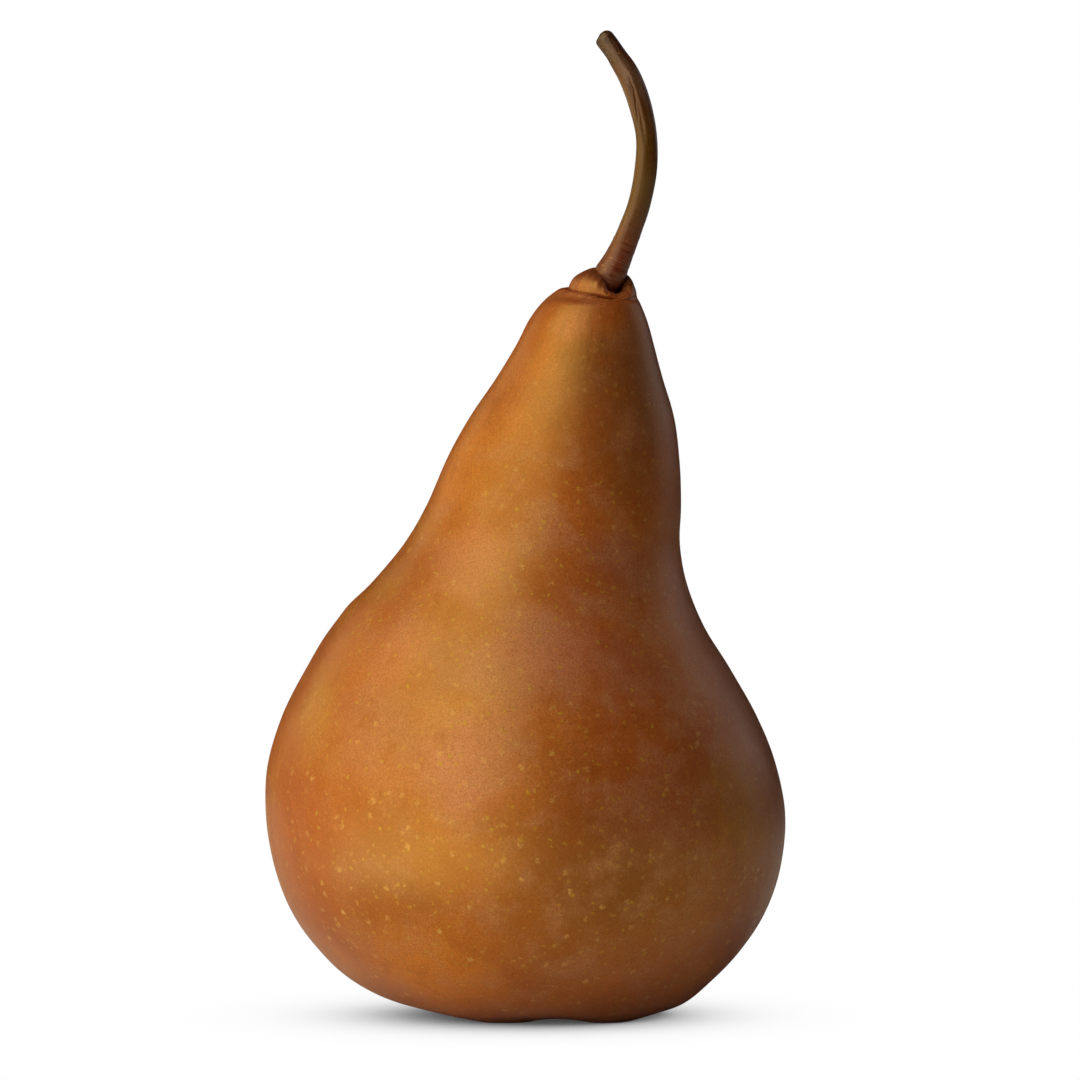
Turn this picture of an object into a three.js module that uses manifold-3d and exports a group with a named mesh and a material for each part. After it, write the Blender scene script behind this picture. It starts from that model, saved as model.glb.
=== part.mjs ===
// A long-necked russet pear standing on its base: fleshy body, woody stem, dried calyx beneath.
// Millimetres, +Z up, +X to the right, +Y to the back; the origin is under the middle of the body.
import * as THREE from 'three';
import { mergeVertices } from 'three/addons/utils/BufferGeometryUtils.js';
import Module from 'manifold-3d';

// ---- body ----
const BODY_SIDES = 72; // around
const ROWS_PER_RING = 2; // mesh rows from one ring of the body to the next
const DEPTH_RATIO = 0.97; // the fruit is a little less deep than wide
const BASE_BACK = 0.8; // the base stands this far to the back of the belly
const BASE_BACK_TOP = 14; // height where that lean has died out

// Rings from the calyx pocket beneath up to the shoulder: half width, height, and how far the
// ring's centre stands to the right, which gives the fruit its lean.
const RINGS = [
  [0.0, 6.2, 4.3],
  [2.75, 6.2, 4.3],
  [3.0, 4.5, 4.3],
  [5.6, 3.2, 4.3],
  [8.2, 1.0, 4.4],
  [11.6, -0.35, 4.5],
  [16.0, 0.2, 3.5],
  [20.7, 2.0, 1.9],
  [25.2, 5.1, 0.8],
  [29.2, 9.1, 0.5],
  [32.7, 14.2, 0.3],
  [35.0, 20.4, 0.2],
  [35.95, 27.5, -0.1],
  [35.3, 34.5, -0.6],
  [32.9, 41.5, -1.0],
  [29.45, 48.0, -1.2],
  [25.7, 54.0, -1.2],
  [22.05, 59.8, 0.2],
  [19.1, 65.5, 2.2],
  [17.5, 71.0, 3.9],
  [16.05, 77.0, 5.1],
  [14.05, 83.0, 6.3],
  [11.4, 88.5, 7.35],
  [9.5, 93.0, 8.1],
  [8.2, 96.4, 8.5],
  [6.95, 98.7, 9.0],
];

// Crown rings carry on from the shoulder over the rim and down to the stem's socket. Each has one
// centre, but its half width and height change around the stem: a fleshy lump on the left and the
// front left, a lip in front, a low notch at the front right, and a high rim on to the back.
const CROWN_CENTRES = [9.8, 10.6, 11.0, 11.3, 11.6, 11.8, 11.9, 11.9, 11.9];
const CROWN_SIDES = [
  { azimuth: 15, rim: [[5.65, 99.8], [4.6, 100.7], [4.0, 101.35], [3.55, 101.9], [3.15, 102.3],
    [2.8, 102.5], [2.5, 102.2], [2.2, 100.6], [1.55, 99.5]] },
  { azimuth: 60, rim: [[5.75, 100.2], [4.9, 101.3], [4.4, 102.1], [3.95, 102.7], [3.5, 103.1],
    [3.0, 103.2], [2.55, 102.8], [2.25, 101.0], [1.55, 99.5]] },
  { azimuth: 120, rim: [[5.9, 100.2], [5.2, 101.2], [4.8, 101.7], [4.5, 102.3], [4.0, 102.9],
    [3.3, 103.2], [2.6, 102.9], [2.3, 101.0], [1.55, 99.5]] },
  { azimuth: 180, rim: [[6.05, 100.15], [5.55, 100.8], [5.2, 100.45], [5.4, 101.2],
    [4.75, 102.6], [3.5, 103.45], [2.6, 103.4], [2.4, 101.0], [1.55, 99.5]] },
  { azimuth: 230, rim: [[5.9, 99.75], [5.4, 100.3], [5.0, 99.9], [5.3, 100.7], [4.9, 102.1],
    [3.7, 103.0], [2.75, 103.0], [2.4, 101.0], [1.55, 99.5]] },
  { azimuth: 275, rim: [[5.75, 99.2], [5.2, 99.5], [4.75, 99.2], [4.75, 99.65], [4.1, 100.4],
    [3.2, 100.7], [2.5, 100.4], [2.2, 100.0], [1.55, 99.5]] },
  { azimuth: 318, rim: [[5.7, 99.2], [4.9, 99.7], [4.3, 99.9], [3.8, 100.05], [3.3, 100.1],
    [2.8, 100.0], [2.4, 99.9], [2.1, 99.75], [1.55, 99.5]] },
];
const SOCKET_RINGS = [[1.55, 94.5, 11.9], [0, 94.4, 11.9]]; // bottom of the stem's socket

// Five shallow lobes around the basin, cut off level where the fruit stands.
const LOBES = 5;
const LOBE_AZIMUTH = -54;
const LOBE_HALF_DEPTH = 0.5;
const LOBE_RADIUS = 12;
const LOBE_SPREAD = 7;
const LOBE_TOP = 30; // height where the lobes have died out
const BASIN_FLOOR = 3; // the lobes have died out at this distance from the middle of the basin

// Slight unevenness of the outline: where it is, how far it stands out, and how wide it fades.
const BUMPS = [
  { azimuth: 180, height: 60.5, out: -0.35, acrossDegrees: 30, along: 3.2 },
  { azimuth: 180, height: 53.5, out: 0.15, acrossDegrees: 35, along: 3.0 },
];

// ---- stem ----
const STEM_SIDES = 18;
const STEM_ROWS_PER_POINT = 3;
// Middle of the stem from the end of its root up to the tip: right, back, up and radius.
const STEM_POINTS = [
  [11.9, 0.0, 94.9, 0.0],
  [11.9, 0.0, 95.1, 0.9],
  [11.9, 0.0, 96.2, 1.2],
  [11.9, 0.0, 99.4, 1.2],
  [11.95, 0.0, 100.5, 1.4],
  [11.85, 0.0, 101.4, 1.85],
  [11.8, -0.1, 102.8, 2.05],
  [12.3, -0.2, 104.6, 1.95],
  [13.2, -0.4, 106.4, 1.7],
  [14.1, -0.7, 108.2, 1.55],
  [15.0, -0.9, 110.5, 1.5],
  [15.75, -1.2, 113.0, 1.43],
  [16.4, -1.5, 116.3, 1.43],
  [16.75, -1.8, 119.6, 1.39],
  [16.5, -1.9, 123.0, 1.38],
  [15.75, -1.7, 126.3, 1.4],
  [14.5, -1.2, 129.5, 1.4],
  [13.25, -0.7, 132.0, 1.36],
  [12.1, -0.3, 133.8, 1.3],
  [11.0, 0.1, 135.2, 1.28],
  [10.5, 0.3, 135.75, 1.12],
  [10.2, 0.4, 136.05, 0.0],
];
const STEM_FLUTES = 5; // soft lengthwise ridges
const FLUTE_DEPTH = 0.04; // of the radius

// ---- calyx ----
const CALYX_CENTRE = [4.3, 0.8];
const CUP_SIDES = 20;
const CUP_RINGS = [[0, 3.6], [1.7, 3.3], [2.3, 3.0], [2.5, 3.6], [2.5, 5.2], [2.1, 5.8], [0, 5.9]];
const SEPALS = 5;
const SEPAL_FIRST = 20; // azimuth in degrees
const SEPAL_SIDES = 10;
const SEPAL_THICKNESS = 0.7;
// Along a sepal: distance from the middle of the calyx, height and width.
const SEPAL_POINTS = [
  [1.7, 4.3, 0.0],
  [1.8, 4.1, 2.2],
  [2.3, 3.1, 2.6],
  [3.0, 2.2, 2.4],
  [4.0, 1.6, 1.9],
  [5.1, 1.5, 1.2],
  [5.9, 1.8, 0.8],
  [6.1, 1.95, 0.0],
];
const STAMENS = 10;
const STAMEN_SIDES = 6;
const STAMEN_RADIUS = 0.32;
const STAMEN_RING = 1.15;
const STAMEN_ROOT = 4.2; // height inside the cup
const STAMEN_TIP = 1.7;
const STAMEN_TIP_SHIFTS = [0.9, 1.3, 0.7, 1.1, 1.5, 0.8, 1.2, 1.0, 1.4, 0.75]; // spread of the tips

const SKIN = new THREE.MeshStandardMaterial({ color: 0xb3703a, roughness: 0.5, metalness: 0 });
const BARK = new THREE.MeshStandardMaterial({ color: 0x66462a, roughness: 0.55, metalness: 0 });
const DRIED = new THREE.MeshStandardMaterial({ color: 0x463628, roughness: 0.85, metalness: 0 });

const wasm = await Module();
wasm.setup();

const { clamp, degToRad, euclideanModulo, lerp, radToDeg, smoothstep } = THREE.MathUtils;

// Value of a smooth curve through evenly spaced values, at t counted in values.
function along(values, t) {
  const last = values.length - 1;
  const i = clamp(Math.floor(t), 0, last - 1);
  const w = t - i;
  const [before, here] = [values[Math.max(i - 1, 0)], values[i]];
  const [next, after] = [values[i + 1], values[Math.min(i + 2, last)]];
  const leave = (next - before) / 2;
  const arrive = (after - here) / 2;
  const cubic = 2 * here - 2 * next + leave + arrive;
  const square = 3 * next - 3 * here - 2 * leave - arrive;
  return ((cubic * w + square) * w + leave) * w + here;
}

// Closed skin with a pole at each end. surface(t, azimuth, point) places every vertex: t runs from
// 0 at the lower pole to `spans` at the upper one, azimuth anticlockwise seen from the upper end.
function loft(sides, rows, spans, surface) {
  const sphere = new THREE.SphereGeometry(1, sides, rows);
  const position = sphere.attributes.position;
  const point = new THREE.Vector3();
  for (let row = 0; row <= rows; row++) {
    for (let side = 0; side <= sides; side++) {
      const azimuth = ((side % sides) / sides) * 2 * Math.PI + Math.PI;
      surface(((rows - row) / rows) * spans, azimuth, point);
      position.setXYZ(row * (sides + 1) + side, point.x, point.y, point.z);
    }
  }
  return sphere;
}

function turnBetween(azimuth, centreDegrees) {
  const turn = azimuth - degToRad(centreDegrees);
  return Math.atan2(Math.sin(turn), Math.cos(turn));
}

// ---- body shape ----
function crownAt(azimuth) {
  const count = CROWN_SIDES.length;
  const first = CROWN_SIDES[0].azimuth;
  const degrees = first + euclideanModulo(radToDeg(azimuth) - first, 360);
  const i = CROWN_SIDES.findLastIndex((side) => side.azimuth <= degrees);
  const [here, next] = [CROWN_SIDES[i], CROWN_SIDES[(i + 1) % count]];
  const nextAzimuth = next.azimuth + (i === count - 1 ? 360 : 0);
  const share = smoothstep(degrees, here.azimuth, nextAzimuth);
  return here.rim.map(([width, height], ring) => [
    lerp(width, next.rim[ring][0], share),
    lerp(height, next.rim[ring][1], share),
    CROWN_CENTRES[ring],
  ]);
}

function bodySurface() {
  const sections = new Map();
  const sectionAt = (azimuth) => {
    const key = azimuth.toFixed(5);
    if (!sections.has(key)) {
      const rings = [...RINGS, ...crownAt(azimuth), ...SOCKET_RINGS];
      sections.set(key, [0, 1, 2].map((value) => rings.map((ring) => ring[value])));
    }
    return sections.get(key);
  };
  return (t, azimuth, point) => {
    const [widths, heights, centres] = sectionAt(azimuth);
    let width = Math.max(along(widths, t), 0);
    let height = along(heights, t);
    const back = BASE_BACK * (1 - smoothstep(height, 0, BASE_BACK_TOP));
    const near = Math.exp(-(((width - LOBE_RADIUS) / LOBE_SPREAD) ** 2));
    const low = 1 - smoothstep(height, 0, LOBE_TOP);
    const furrow = 1 - Math.cos(LOBES * (azimuth - degToRad(LOBE_AZIMUTH)));
    const lift = LOBE_HALF_DEPTH * near * low * furrow * smoothstep(width, BASIN_FLOOR, LOBE_RADIUS);
    height = Math.max(height + lift, 0);
    for (const bump of BUMPS) {
      const across = turnBetween(azimuth, bump.azimuth) / degToRad(bump.acrossDegrees);
      const up = (height - bump.height) / bump.along;
      width += bump.out * Math.exp(-(across ** 2) - up ** 2);
    }
    point.set(
      along(centres, t) + width * Math.cos(azimuth),
      back + DEPTH_RATIO * width * Math.sin(azimuth),
      height,
    );
  };
}

function bodyGeometry() {
  const spans = RINGS.length + CROWN_CENTRES.length + SOCKET_RINGS.length - 1;
  return loft(BODY_SIDES, spans * ROWS_PER_RING, spans, bodySurface());
}

// ---- limbs: tubes of changing width and thickness along a bent path ----
// Each point holds x, y, z, half width along `sideways`, and half thickness across it.
function limbGeometry(sides, rowsPerPoint, points, sideways, relief = () => 1) {
  const tracks = points[0].map((_, value) => points.map((point) => point[value]));
  const spans = points.length - 1;
  const step = 0.05;
  const at = (t) => new THREE.Vector3(...tracks.slice(0, 3).map((track) => along(track, t)));
  const surface = (t, azimuth, point) => {
    const before = at(Math.max(t - step, 0));
    const ahead = at(Math.min(t + step, spans)).sub(before).normalize();
    const across = new THREE.Vector3().copy(sideways);
    across.addScaledVector(ahead, -across.dot(ahead)).normalize();
    const outward = new THREE.Vector3().crossVectors(ahead, across);
    const [width, thickness] = [3, 4].map((value) => Math.max(along(tracks[value], t), 0));
    const rise = relief(t, azimuth);
    point.copy(at(t));
    point.addScaledVector(across, width * rise * Math.cos(azimuth));
    point.addScaledVector(outward, thickness * rise * Math.sin(azimuth));
  };
  return loft(sides, spans * rowsPerPoint, spans, surface);
}

function stemGeometry() {
  const points = STEM_POINTS.map(([x, y, z, radius]) => [x, y, z, radius, radius]);
  const flutes = (t, azimuth) => 1 + FLUTE_DEPTH * Math.sin(STEM_FLUTES * azimuth);
  const right = new THREE.Vector3(1, 0, 0);
  return limbGeometry(STEM_SIDES, STEM_ROWS_PER_POINT, points, right, flutes);
}

function cupGeometry() {
  const tracks = [0, 1].map((value) => CUP_RINGS.map((ring) => ring[value]));
  const spans = CUP_RINGS.length - 1;
  return loft(CUP_SIDES, spans * 2, spans, (t, azimuth, point) => {
    const radius = Math.max(along(tracks[0], t), 0);
    point.set(
      CALYX_CENTRE[0] + radius * Math.cos(azimuth),
      CALYX_CENTRE[1] + radius * Math.sin(azimuth),
      along(tracks[1], t),
    );
  });
}

function sepalGeometry(azimuth) {
  const direction = new THREE.Vector3(Math.cos(azimuth), Math.sin(azimuth), 0);
  const sideways = new THREE.Vector3(-direction.y, direction.x, 0);
  const points = SEPAL_POINTS.map(([reach, height, width]) => [
    CALYX_CENTRE[0] + reach * direction.x,
    CALYX_CENTRE[1] + reach * direction.y,
    height,
    width / 2,
    width > 0 ? SEPAL_THICKNESS / 2 : 0,
  ]);
  return limbGeometry(SEPAL_SIDES, 2, points, sideways);
}

function stamenGeometry(index) {
  const azimuth = (index / STAMENS) * 2 * Math.PI;
  const direction = new THREE.Vector3(Math.cos(azimuth), Math.sin(azimuth), 0);
  const spread = STAMEN_TIP_SHIFTS[index];
  const ends = [
    [STAMEN_RING, STAMEN_ROOT, 0],
    [STAMEN_RING, STAMEN_ROOT - 0.1, STAMEN_RADIUS],
    [lerp(STAMEN_RING, spread, 0.5), (STAMEN_ROOT + STAMEN_TIP) / 2, STAMEN_RADIUS],
    [spread, STAMEN_TIP, STAMEN_RADIUS],
    [spread, STAMEN_TIP - 0.15, 0],
  ];
  const points = ends.map(([reach, height, radius]) => [
    CALYX_CENTRE[0] + reach * direction.x,
    CALYX_CENTRE[1] + reach * direction.y,
    height,
    radius,
    radius,
  ]);
  return limbGeometry(STAMEN_SIDES, 1, points, direction);
}

// ---- joining and output ----
function toSolid(geometry) {
  const bare = new THREE.BufferGeometry();
  bare.setAttribute('position', geometry.attributes.position);
  bare.setIndex(geometry.index);
  const merged = mergeVertices(bare, 1e-4);
  const vertProperties = new Float32Array(merged.attributes.position.array);
  const triVerts = new Uint32Array(merged.index.array);
  return new wasm.Manifold(new wasm.Mesh({ numProp: 3, vertProperties, triVerts }));
}

function toGeometry(solid) {
  const mesh = solid.getMesh();
  const geometry = new THREE.BufferGeometry();
  geometry.setAttribute('position', new THREE.BufferAttribute(mesh.vertProperties, 3));
  geometry.setIndex(new THREE.BufferAttribute(mesh.triVerts, 1));
  geometry.computeVertexNormals();
  return geometry;
}

function calyxGeometry() {
  let calyx = toSolid(cupGeometry());
  for (let i = 0; i < SEPALS; i++) {
    const azimuth = degToRad(SEPAL_FIRST + (i * 360) / SEPALS);
    calyx = calyx.add(toSolid(sepalGeometry(azimuth)));
  }
  for (let i = 0; i < STAMENS; i++) {
    calyx = calyx.add(toSolid(stamenGeometry(i)));
  }
  return toGeometry(calyx);
}

function node(name, geometry, material) {
  const mesh = new THREE.Mesh(geometry, material);
  mesh.name = name;
  return mesh;
}

const pear = new THREE.Group();
pear.add(node('body', toGeometry(toSolid(bodyGeometry())), SKIN));
pear.add(node('stem', toGeometry(toSolid(stemGeometry())), BARK));
pear.add(node('calyx', calyxGeometry(), DRIED));

export default pear;
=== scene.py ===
"""A long-necked russet pear standing on its base, with a plain white studio round it.

Everything is in metres, +Z up, +X to the right and +Y to the back. Shape tables are in
millimetres, as a maker would measure the fruit, and are turned to metres where they are used.
"""

import math

import bpy
import numpy as np
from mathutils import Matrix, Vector


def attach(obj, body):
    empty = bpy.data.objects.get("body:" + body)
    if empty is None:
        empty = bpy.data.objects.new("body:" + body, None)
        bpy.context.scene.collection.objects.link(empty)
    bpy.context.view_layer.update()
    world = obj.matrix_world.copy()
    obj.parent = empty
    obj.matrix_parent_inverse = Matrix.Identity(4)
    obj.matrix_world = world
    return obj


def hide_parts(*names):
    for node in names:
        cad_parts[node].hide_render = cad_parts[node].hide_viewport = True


bl_info = {
    "name": "Russet Pear",
    "version": (1, 0, 0),
    "blender": (4, 5, 0),
    "location": "3D View > Sidebar > Pear",
    "description": "Makes a russet pear with its stem and dried calyx, and a studio for it",
    "category": "Add Mesh",
}

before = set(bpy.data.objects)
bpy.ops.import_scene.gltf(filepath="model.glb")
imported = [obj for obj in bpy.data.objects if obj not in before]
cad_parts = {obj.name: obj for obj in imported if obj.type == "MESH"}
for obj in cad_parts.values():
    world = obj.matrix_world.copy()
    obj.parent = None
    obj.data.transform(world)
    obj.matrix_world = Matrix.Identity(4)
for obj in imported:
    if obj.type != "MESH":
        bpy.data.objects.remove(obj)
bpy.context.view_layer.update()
MM = 0.001

# ---- body shape ----
# Rings from the calyx pocket beneath up to the shoulder: half width, height, and how far the
# ring's centre stands to the right, which gives the fruit its lean.
RINGS = [
    (0.0, 6.2, 4.3),
    (2.75, 6.2, 4.3),
    (3.0, 4.5, 4.3),
    (5.6, 3.2, 4.3),
    (8.2, 1.0, 4.4),
    (11.6, -0.35, 4.5),
    (16.0, 0.2, 3.5),
    (20.7, 2.0, 1.9),
    (25.2, 5.1, 0.7),
    (29.2, 9.1, 0.42),
    (32.7, 14.2, 0.3),
    (35.0, 20.4, 0.2),
    (36.02, 27.5, -0.03),
    (35.37, 34.5, -0.53),
    (32.98, 41.5, -0.92),
    (29.5, 48.0, -1.15),
    (25.7, 54.0, -1.2),
    (22.05, 59.8, 0.2),
    (19.1, 65.5, 2.2),
    (17.58, 71.0, 3.86),
    (16.17, 77.0, 5.06),
    (14.17, 83.0, 6.3),
    (11.52, 88.5, 7.38),
    (9.6, 93.0, 8.18),
    (8.28, 96.4, 8.6),
    (6.95, 98.7, 9.0),
]
# The crown's rings go on from the shoulder, over the rim and down into the stem's foot. Their half
# width and height change round the stem: a fleshy lump leans on its left and front left, thins to
# a lip in front, leaves a low notch at the front right, and a high rim closes the back.
CROWN_CENTRES = (9.8, 10.6, 11.0, 11.2, 11.3, 11.3, 11.3, 11.3, 11.3)
CROWN_SIDES = {
    0: ((5.65, 99.6), (4.7, 100.35), (4.15, 100.9), (3.7, 101.45), (3.3, 101.9),
        (2.9, 102.15), (2.3, 101.95), (1.95, 101.2), (1.0, 99.4)),
    20: ((5.65, 99.8), (4.65, 100.75), (4.15, 101.3), (3.7, 101.9), (3.25, 102.4),
         (2.8, 102.75), (2.3, 102.55), (1.95, 101.6), (1.0, 99.5)),
    60: ((5.75, 100.2), (4.9, 101.3), (4.4, 102.0), (3.95, 102.6), (3.5, 103.0),
         (3.0, 103.15), (2.5, 102.9), (2.1, 101.6), (1.0, 99.8)),
    120: ((5.9, 100.2), (5.2, 101.2), (4.8, 101.7), (4.5, 102.3), (4.0, 102.9),
          (3.2, 103.3), (2.3, 103.2), (1.5, 102.5), (0.7, 100.5)),
    150: ((6.0, 100.2), (5.4, 101.0), (5.1, 101.1), (5.0, 101.7), (4.5, 102.6),
          (3.3, 103.35), (2.0, 103.7), (1.2, 103.3), (0.5, 101.5)),
    180: ((6.05, 100.2), (5.55, 100.9), (5.15, 100.5), (5.3, 101.2), (4.75, 102.35),
          (3.5, 103.2), (2.0, 103.75), (1.1, 103.4), (0.5, 101.5)),
    215: ((5.95, 99.8), (5.5, 100.5), (5.15, 100.25), (5.25, 100.95), (4.75, 102.1),
          (3.6, 103.0), (2.1, 103.4), (1.2, 103.1), (0.5, 101.5)),
    235: ((5.9, 99.6), (5.45, 100.2), (5.0, 100.0), (5.1, 100.6), (4.75, 101.7),
          (3.7, 102.6), (2.2, 102.95), (1.3, 102.6), (0.5, 101.3)),
    250: ((5.85, 99.4), (5.35, 99.85), (4.6, 99.75), (5.0, 100.35), (4.8, 101.4),
          (3.9, 102.2), (2.4, 102.4), (1.4, 101.6), (0.5, 100.5)),
    261: ((5.8, 99.3), (5.25, 99.62), (4.35, 99.55), (4.9, 100.05), (4.75, 100.9),
          (3.8, 101.6), (2.4, 101.7), (1.5, 100.8), (0.6, 99.8)),
    271: ((5.75, 99.2), (5.2, 99.45), (4.3, 99.4), (4.85, 99.8), (4.55, 100.3),
          (3.5, 100.65), (2.2, 100.5), (1.5, 99.9), (0.6, 99.5)),
    280: ((5.75, 99.15), (5.2, 99.38), (4.35, 99.33), (4.7, 99.7), (4.3, 100.1),
          (3.3, 100.4), (2.2, 100.2), (1.5, 99.8), (0.6, 99.5)),
    290: ((5.7, 99.1), (5.15, 99.3), (4.6, 99.42), (4.5, 99.68), (4.0, 99.95),
          (3.2, 100.2), (2.3, 100.05), (1.8, 99.6), (0.7, 99.3)),
    315: ((5.6, 99.2), (4.9, 99.65), (4.4, 99.95), (4.0, 100.2), (3.5, 100.45),
          (3.0, 100.45), (2.35, 100.15), (1.9, 99.6), (1.0, 99.2)),
    340: ((5.6, 99.4), (4.75, 99.95), (4.25, 100.4), (3.85, 100.85), (3.5, 101.2),
          (3.05, 101.4), (2.35, 101.2), (1.95, 100.5), (1.0, 99.2)),
}
FOOT = (0.0, 99.0, 11.3)  # the crown closes here, inside the foot of the stem
# Rows of faces in each span between two rings, from the calyx pocket to the stem's foot.
ROWS_IN_SPANS = [3] * 3 + [6] * 3 + [9] * 20 + [8] * 8 + [3]
BODY_SIDES = 288
DEPTH_RATIO = 0.97  # the fruit is a little less deep than wide
BASE_BACK = 0.8  # the base stands this far to the back of the belly
BASE_BACK_TOP = 14.0  # height where that has died out
LOBES = 5  # shallow lobes round the basin beneath
LOBE_AZIMUTH = -54.0
LOBE_HALF_DEPTH = 0.5
LOBE_RADIUS = 12.0
LOBE_SPREAD = 7.0
LOBE_TOP = 30.0
BASIN_FLOOR = 3.0
# Slight unevenness of the outline: azimuth, height, how far it stands out, degrees across, height
# over which it fades.
BUMPS = ((180, 60.5, -0.15, 30, 3.2), (180, 57.3, 0.4, 30, 1.8), (180, 53.5, 0.15, 35, 3.0))

# Patches of skin that are not like the rest: their colour, middle, reach and strength. Some paint light and
# shade: the pinkish sheen patches are painted highlights, the olive ones painted shade, the brown and stain
# ones partly painted shade, and the sun ones partly painted light.
PATCHES = (
    ("olive", (14.5, -9.0, 88.0), 13.0, 0.8),
    ("olive", (13.0, -13.0, 78.0), 11.0, 0.6),
    ("stain_and_shade", (17.0, 1.0, 102.0), 6.0, 0.9),
    ("dull", (7.5, -4.0, 101.5), 6.5, 0.7),
    ("rust", (7.5, -4.0, 101.5), 6.0, 0.3),
    ("pinkish_sheen", (6.2, -8.0, 97.0), 4.0, 0.6),
    ("brown", (1.5, -7.0, 97.0), 5.0, 0.5),
    ("brown", (7.0, -12.0, 86.0), 9.0, 0.55),
    ("rust", (3.0, -5.0, 95.0), 7.0, 0.6),
    ("olive", (9.0, -12.0, 91.0), 7.0, 0.4),
    ("brown", (10.0, -33.0, 22.0), 19.0, 0.9),
    ("brown", (5.0, -35.0, 37.0), 8.0, 0.35),
    ("pinkish_sheen", (3.0, -25.0, 52.0), 11.0, 0.75),
    ("pinkish_sheen", (-9.0, -33.0, 37.0), 10.0, 0.8),
    ("pinkish_sheen", (-5.0, -27.0, 50.6), 6.0, 0.5),
    ("pinkish_sheen", (-3.0, -31.0, 43.5), 7.0, 0.5),
    ("sun", (-16.0, -28.0, 13.0), 7.0, 0.5),
    ("brown", (-12.0, -26.0, 50.0), 6.0, 0.35),
    ("pinkish_sheen", (-7.5, -18.0, 64.0), 9.0, 0.5),
    ("pinkish_sheen", (-17.0, -20.0, 52.0), 8.0, 0.5),
    ("sun", (-13.0, -24.0, 7.0), 15.0, 0.9),
    ("sun", (-26.0, -10.0, 9.0), 8.0, 0.6),
    ("sun", (-9.0, -9.0, 77.0), 11.0, 0.6),
    ("brown", (3.0, -27.0, 8.0), 9.0, 0.35),
    ("sun", (24.0, -12.0, 5.0), 11.0, 0.7),
    ("dull", (-10.0, -25.0, 51.0), 9.0, 0.4),
    ("brown", (-5.0, -15.0, 75.0), 9.0, 0.3),
    ("rust", (5.0, -14.0, 75.0), 9.0, 0.4),
    ("rust", (-27.0, -21.0, 21.0), 16.0, 0.85),
    ("rust", (31.0, -12.0, 16.0), 13.0, 1.0),
    ("brown", (-20.0, -29.0, 22.0), 14.0, 0.7),
    ("gold", (-27.0, -14.0, 43.0), 8.0, 0.5),
    ("rust", (-12.0, -19.0, 73.0), 6.0, 0.35),
    ("gold", (29.0, -20.0, 30.0), 11.0, 0.55),
    ("dull", (19.0, -30.0, 29.0), 11.0, 0.4),
    ("dull", (-20.0, -28.0, 42.0), 12.0, 0.7),
    ("dull", (14.0, -24.0, 50.0), 9.0, 0.5),
    ("dull", (12.0, -15.0, 64.0), 8.0, 0.6),
)

# ---- stem shape ----
# Middle of the stem from its root in the socket up to the tip: right, back, up and radius.
STEM_POINTS = [
    (11.7, 0.0, 96.0, 0.9),
    (11.5, 0.0, 97.5, 1.1),
    (11.2, 0.0, 99.5, 1.1),
    (11.0, -0.1, 100.3, 1.5),
    (11.1, -0.1, 101.4, 1.9),
    (11.6, -0.1, 102.8, 2.2),
    (12.7, -0.2, 105.0, 1.9),
    (14.1, -0.7, 108.3, 1.6),
    (15.6, -1.1, 112.5, 1.5),
    (16.5, -1.6, 117.2, 1.5),
    (16.6, -1.8, 121.8, 1.4),
    (15.7, -1.7, 126.2, 1.5),
    (14.3, -1.2, 130.0, 1.5),
    (12.5, -0.5, 133.0, 1.4),
    (11.1, 0.1, 135.0, 1.4),
    (10.6, 0.2, 135.7, 1.2),
    (10.3, 0.3, 136.0, 0.3),
]
STEPS_PER_POINT = 25
STEM_MARKS = ("thickness", "run", "oval", "grooved", "slit", "slit turn", "wrinkled", "frayed")

# ---- calyx shape ----
CALYX_CENTRE = (4.3, 0.8)
CUP_SIDES = 64
CUP_ROWS_PER_RING = 5
CUP_RINGS = ((0, 3.6), (1.7, 3.3), (2.3, 3.0), (2.5, 3.6), (2.5, 5.2), (2.1, 5.8), (0, 5.9))
# Where the sepals and the stamens stand: radius of their ring and its height.
SEPAL_STAND = (1.9, 4.3)
STAMEN_STAND = (1.15, 4.2)

# ---- studio ----
FLOOR_REACH = 4.0  # from the fruit to each edge of the board
CAMERA_RIGHT = 0.0019  # the camera stands this far to the right of the fruit's middle
# The main light is one even wall, three softboxes high, from the front round to the left: azimuth
# (0 is the camera's side and -90 the left) and colour of each column. It is warmer to the left.
WALL_COLUMNS = ((-20, "e8ecff"), (-50, "ffffff"), (-80, "fff0c0"))
WALL_ELEVATIONS = (10, 35, 60)
WALL_SHARE = 0.1  # of the light's power, for each softbox of the wall
SOFTBOX_SIDE = 0.4
LAMP_DISTANCE = 0.7
LAMP_AIM = 0.05  # height on the fruit that the softboxes face
BACK_ELEVATION = 20
# Weaker softboxes behind: name, azimuth, share and colour.
BACK_LIGHTS = (("back_left", -125, 0.08, "fff0c0"), ("back_right", 125, 0.05, "e0e0ff"))
FLOOR_LIFT = Vector((0.0, 0.0, 0.001))  # just above the board
# Where the wall's light falls on the floor, the floor lights the fruit from below: name, azimuth,
# distance, side and share.
FLOOR_PATCHES = (("near_patch", -45, 0.13, 0.13, 0.02), ("far_patch", -45, 0.32, 0.26, 0.05))


# ---- settings ----
def linear(hex_colour):
    """Linear RGBA of an sRGB hex colour."""
    parts = [int(hex_colour[i : i + 2], 16) / 255 for i in (0, 2, 4)]
    return (*(p / 12.92 if p <= 0.04045 else ((p + 0.055) / 1.055) ** 2.4 for p in parts), 1.0)


def length(name, description, default_mm, decimals=3):
    """A length property, given in millimetres."""
    return bpy.props.FloatProperty(
        name=name, description=description, default=default_mm * MM, min=0.0,
        unit="LENGTH", subtype="DISTANCE", precision=decimals,
    )


def colour(name, description, hex_colour):
    """A colour property, given as an sRGB hex value."""
    return bpy.props.FloatVectorProperty(
        name=name, description=description, default=linear(hex_colour), size=4,
        min=0.0, max=1.0, subtype="COLOR",
    )


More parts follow.
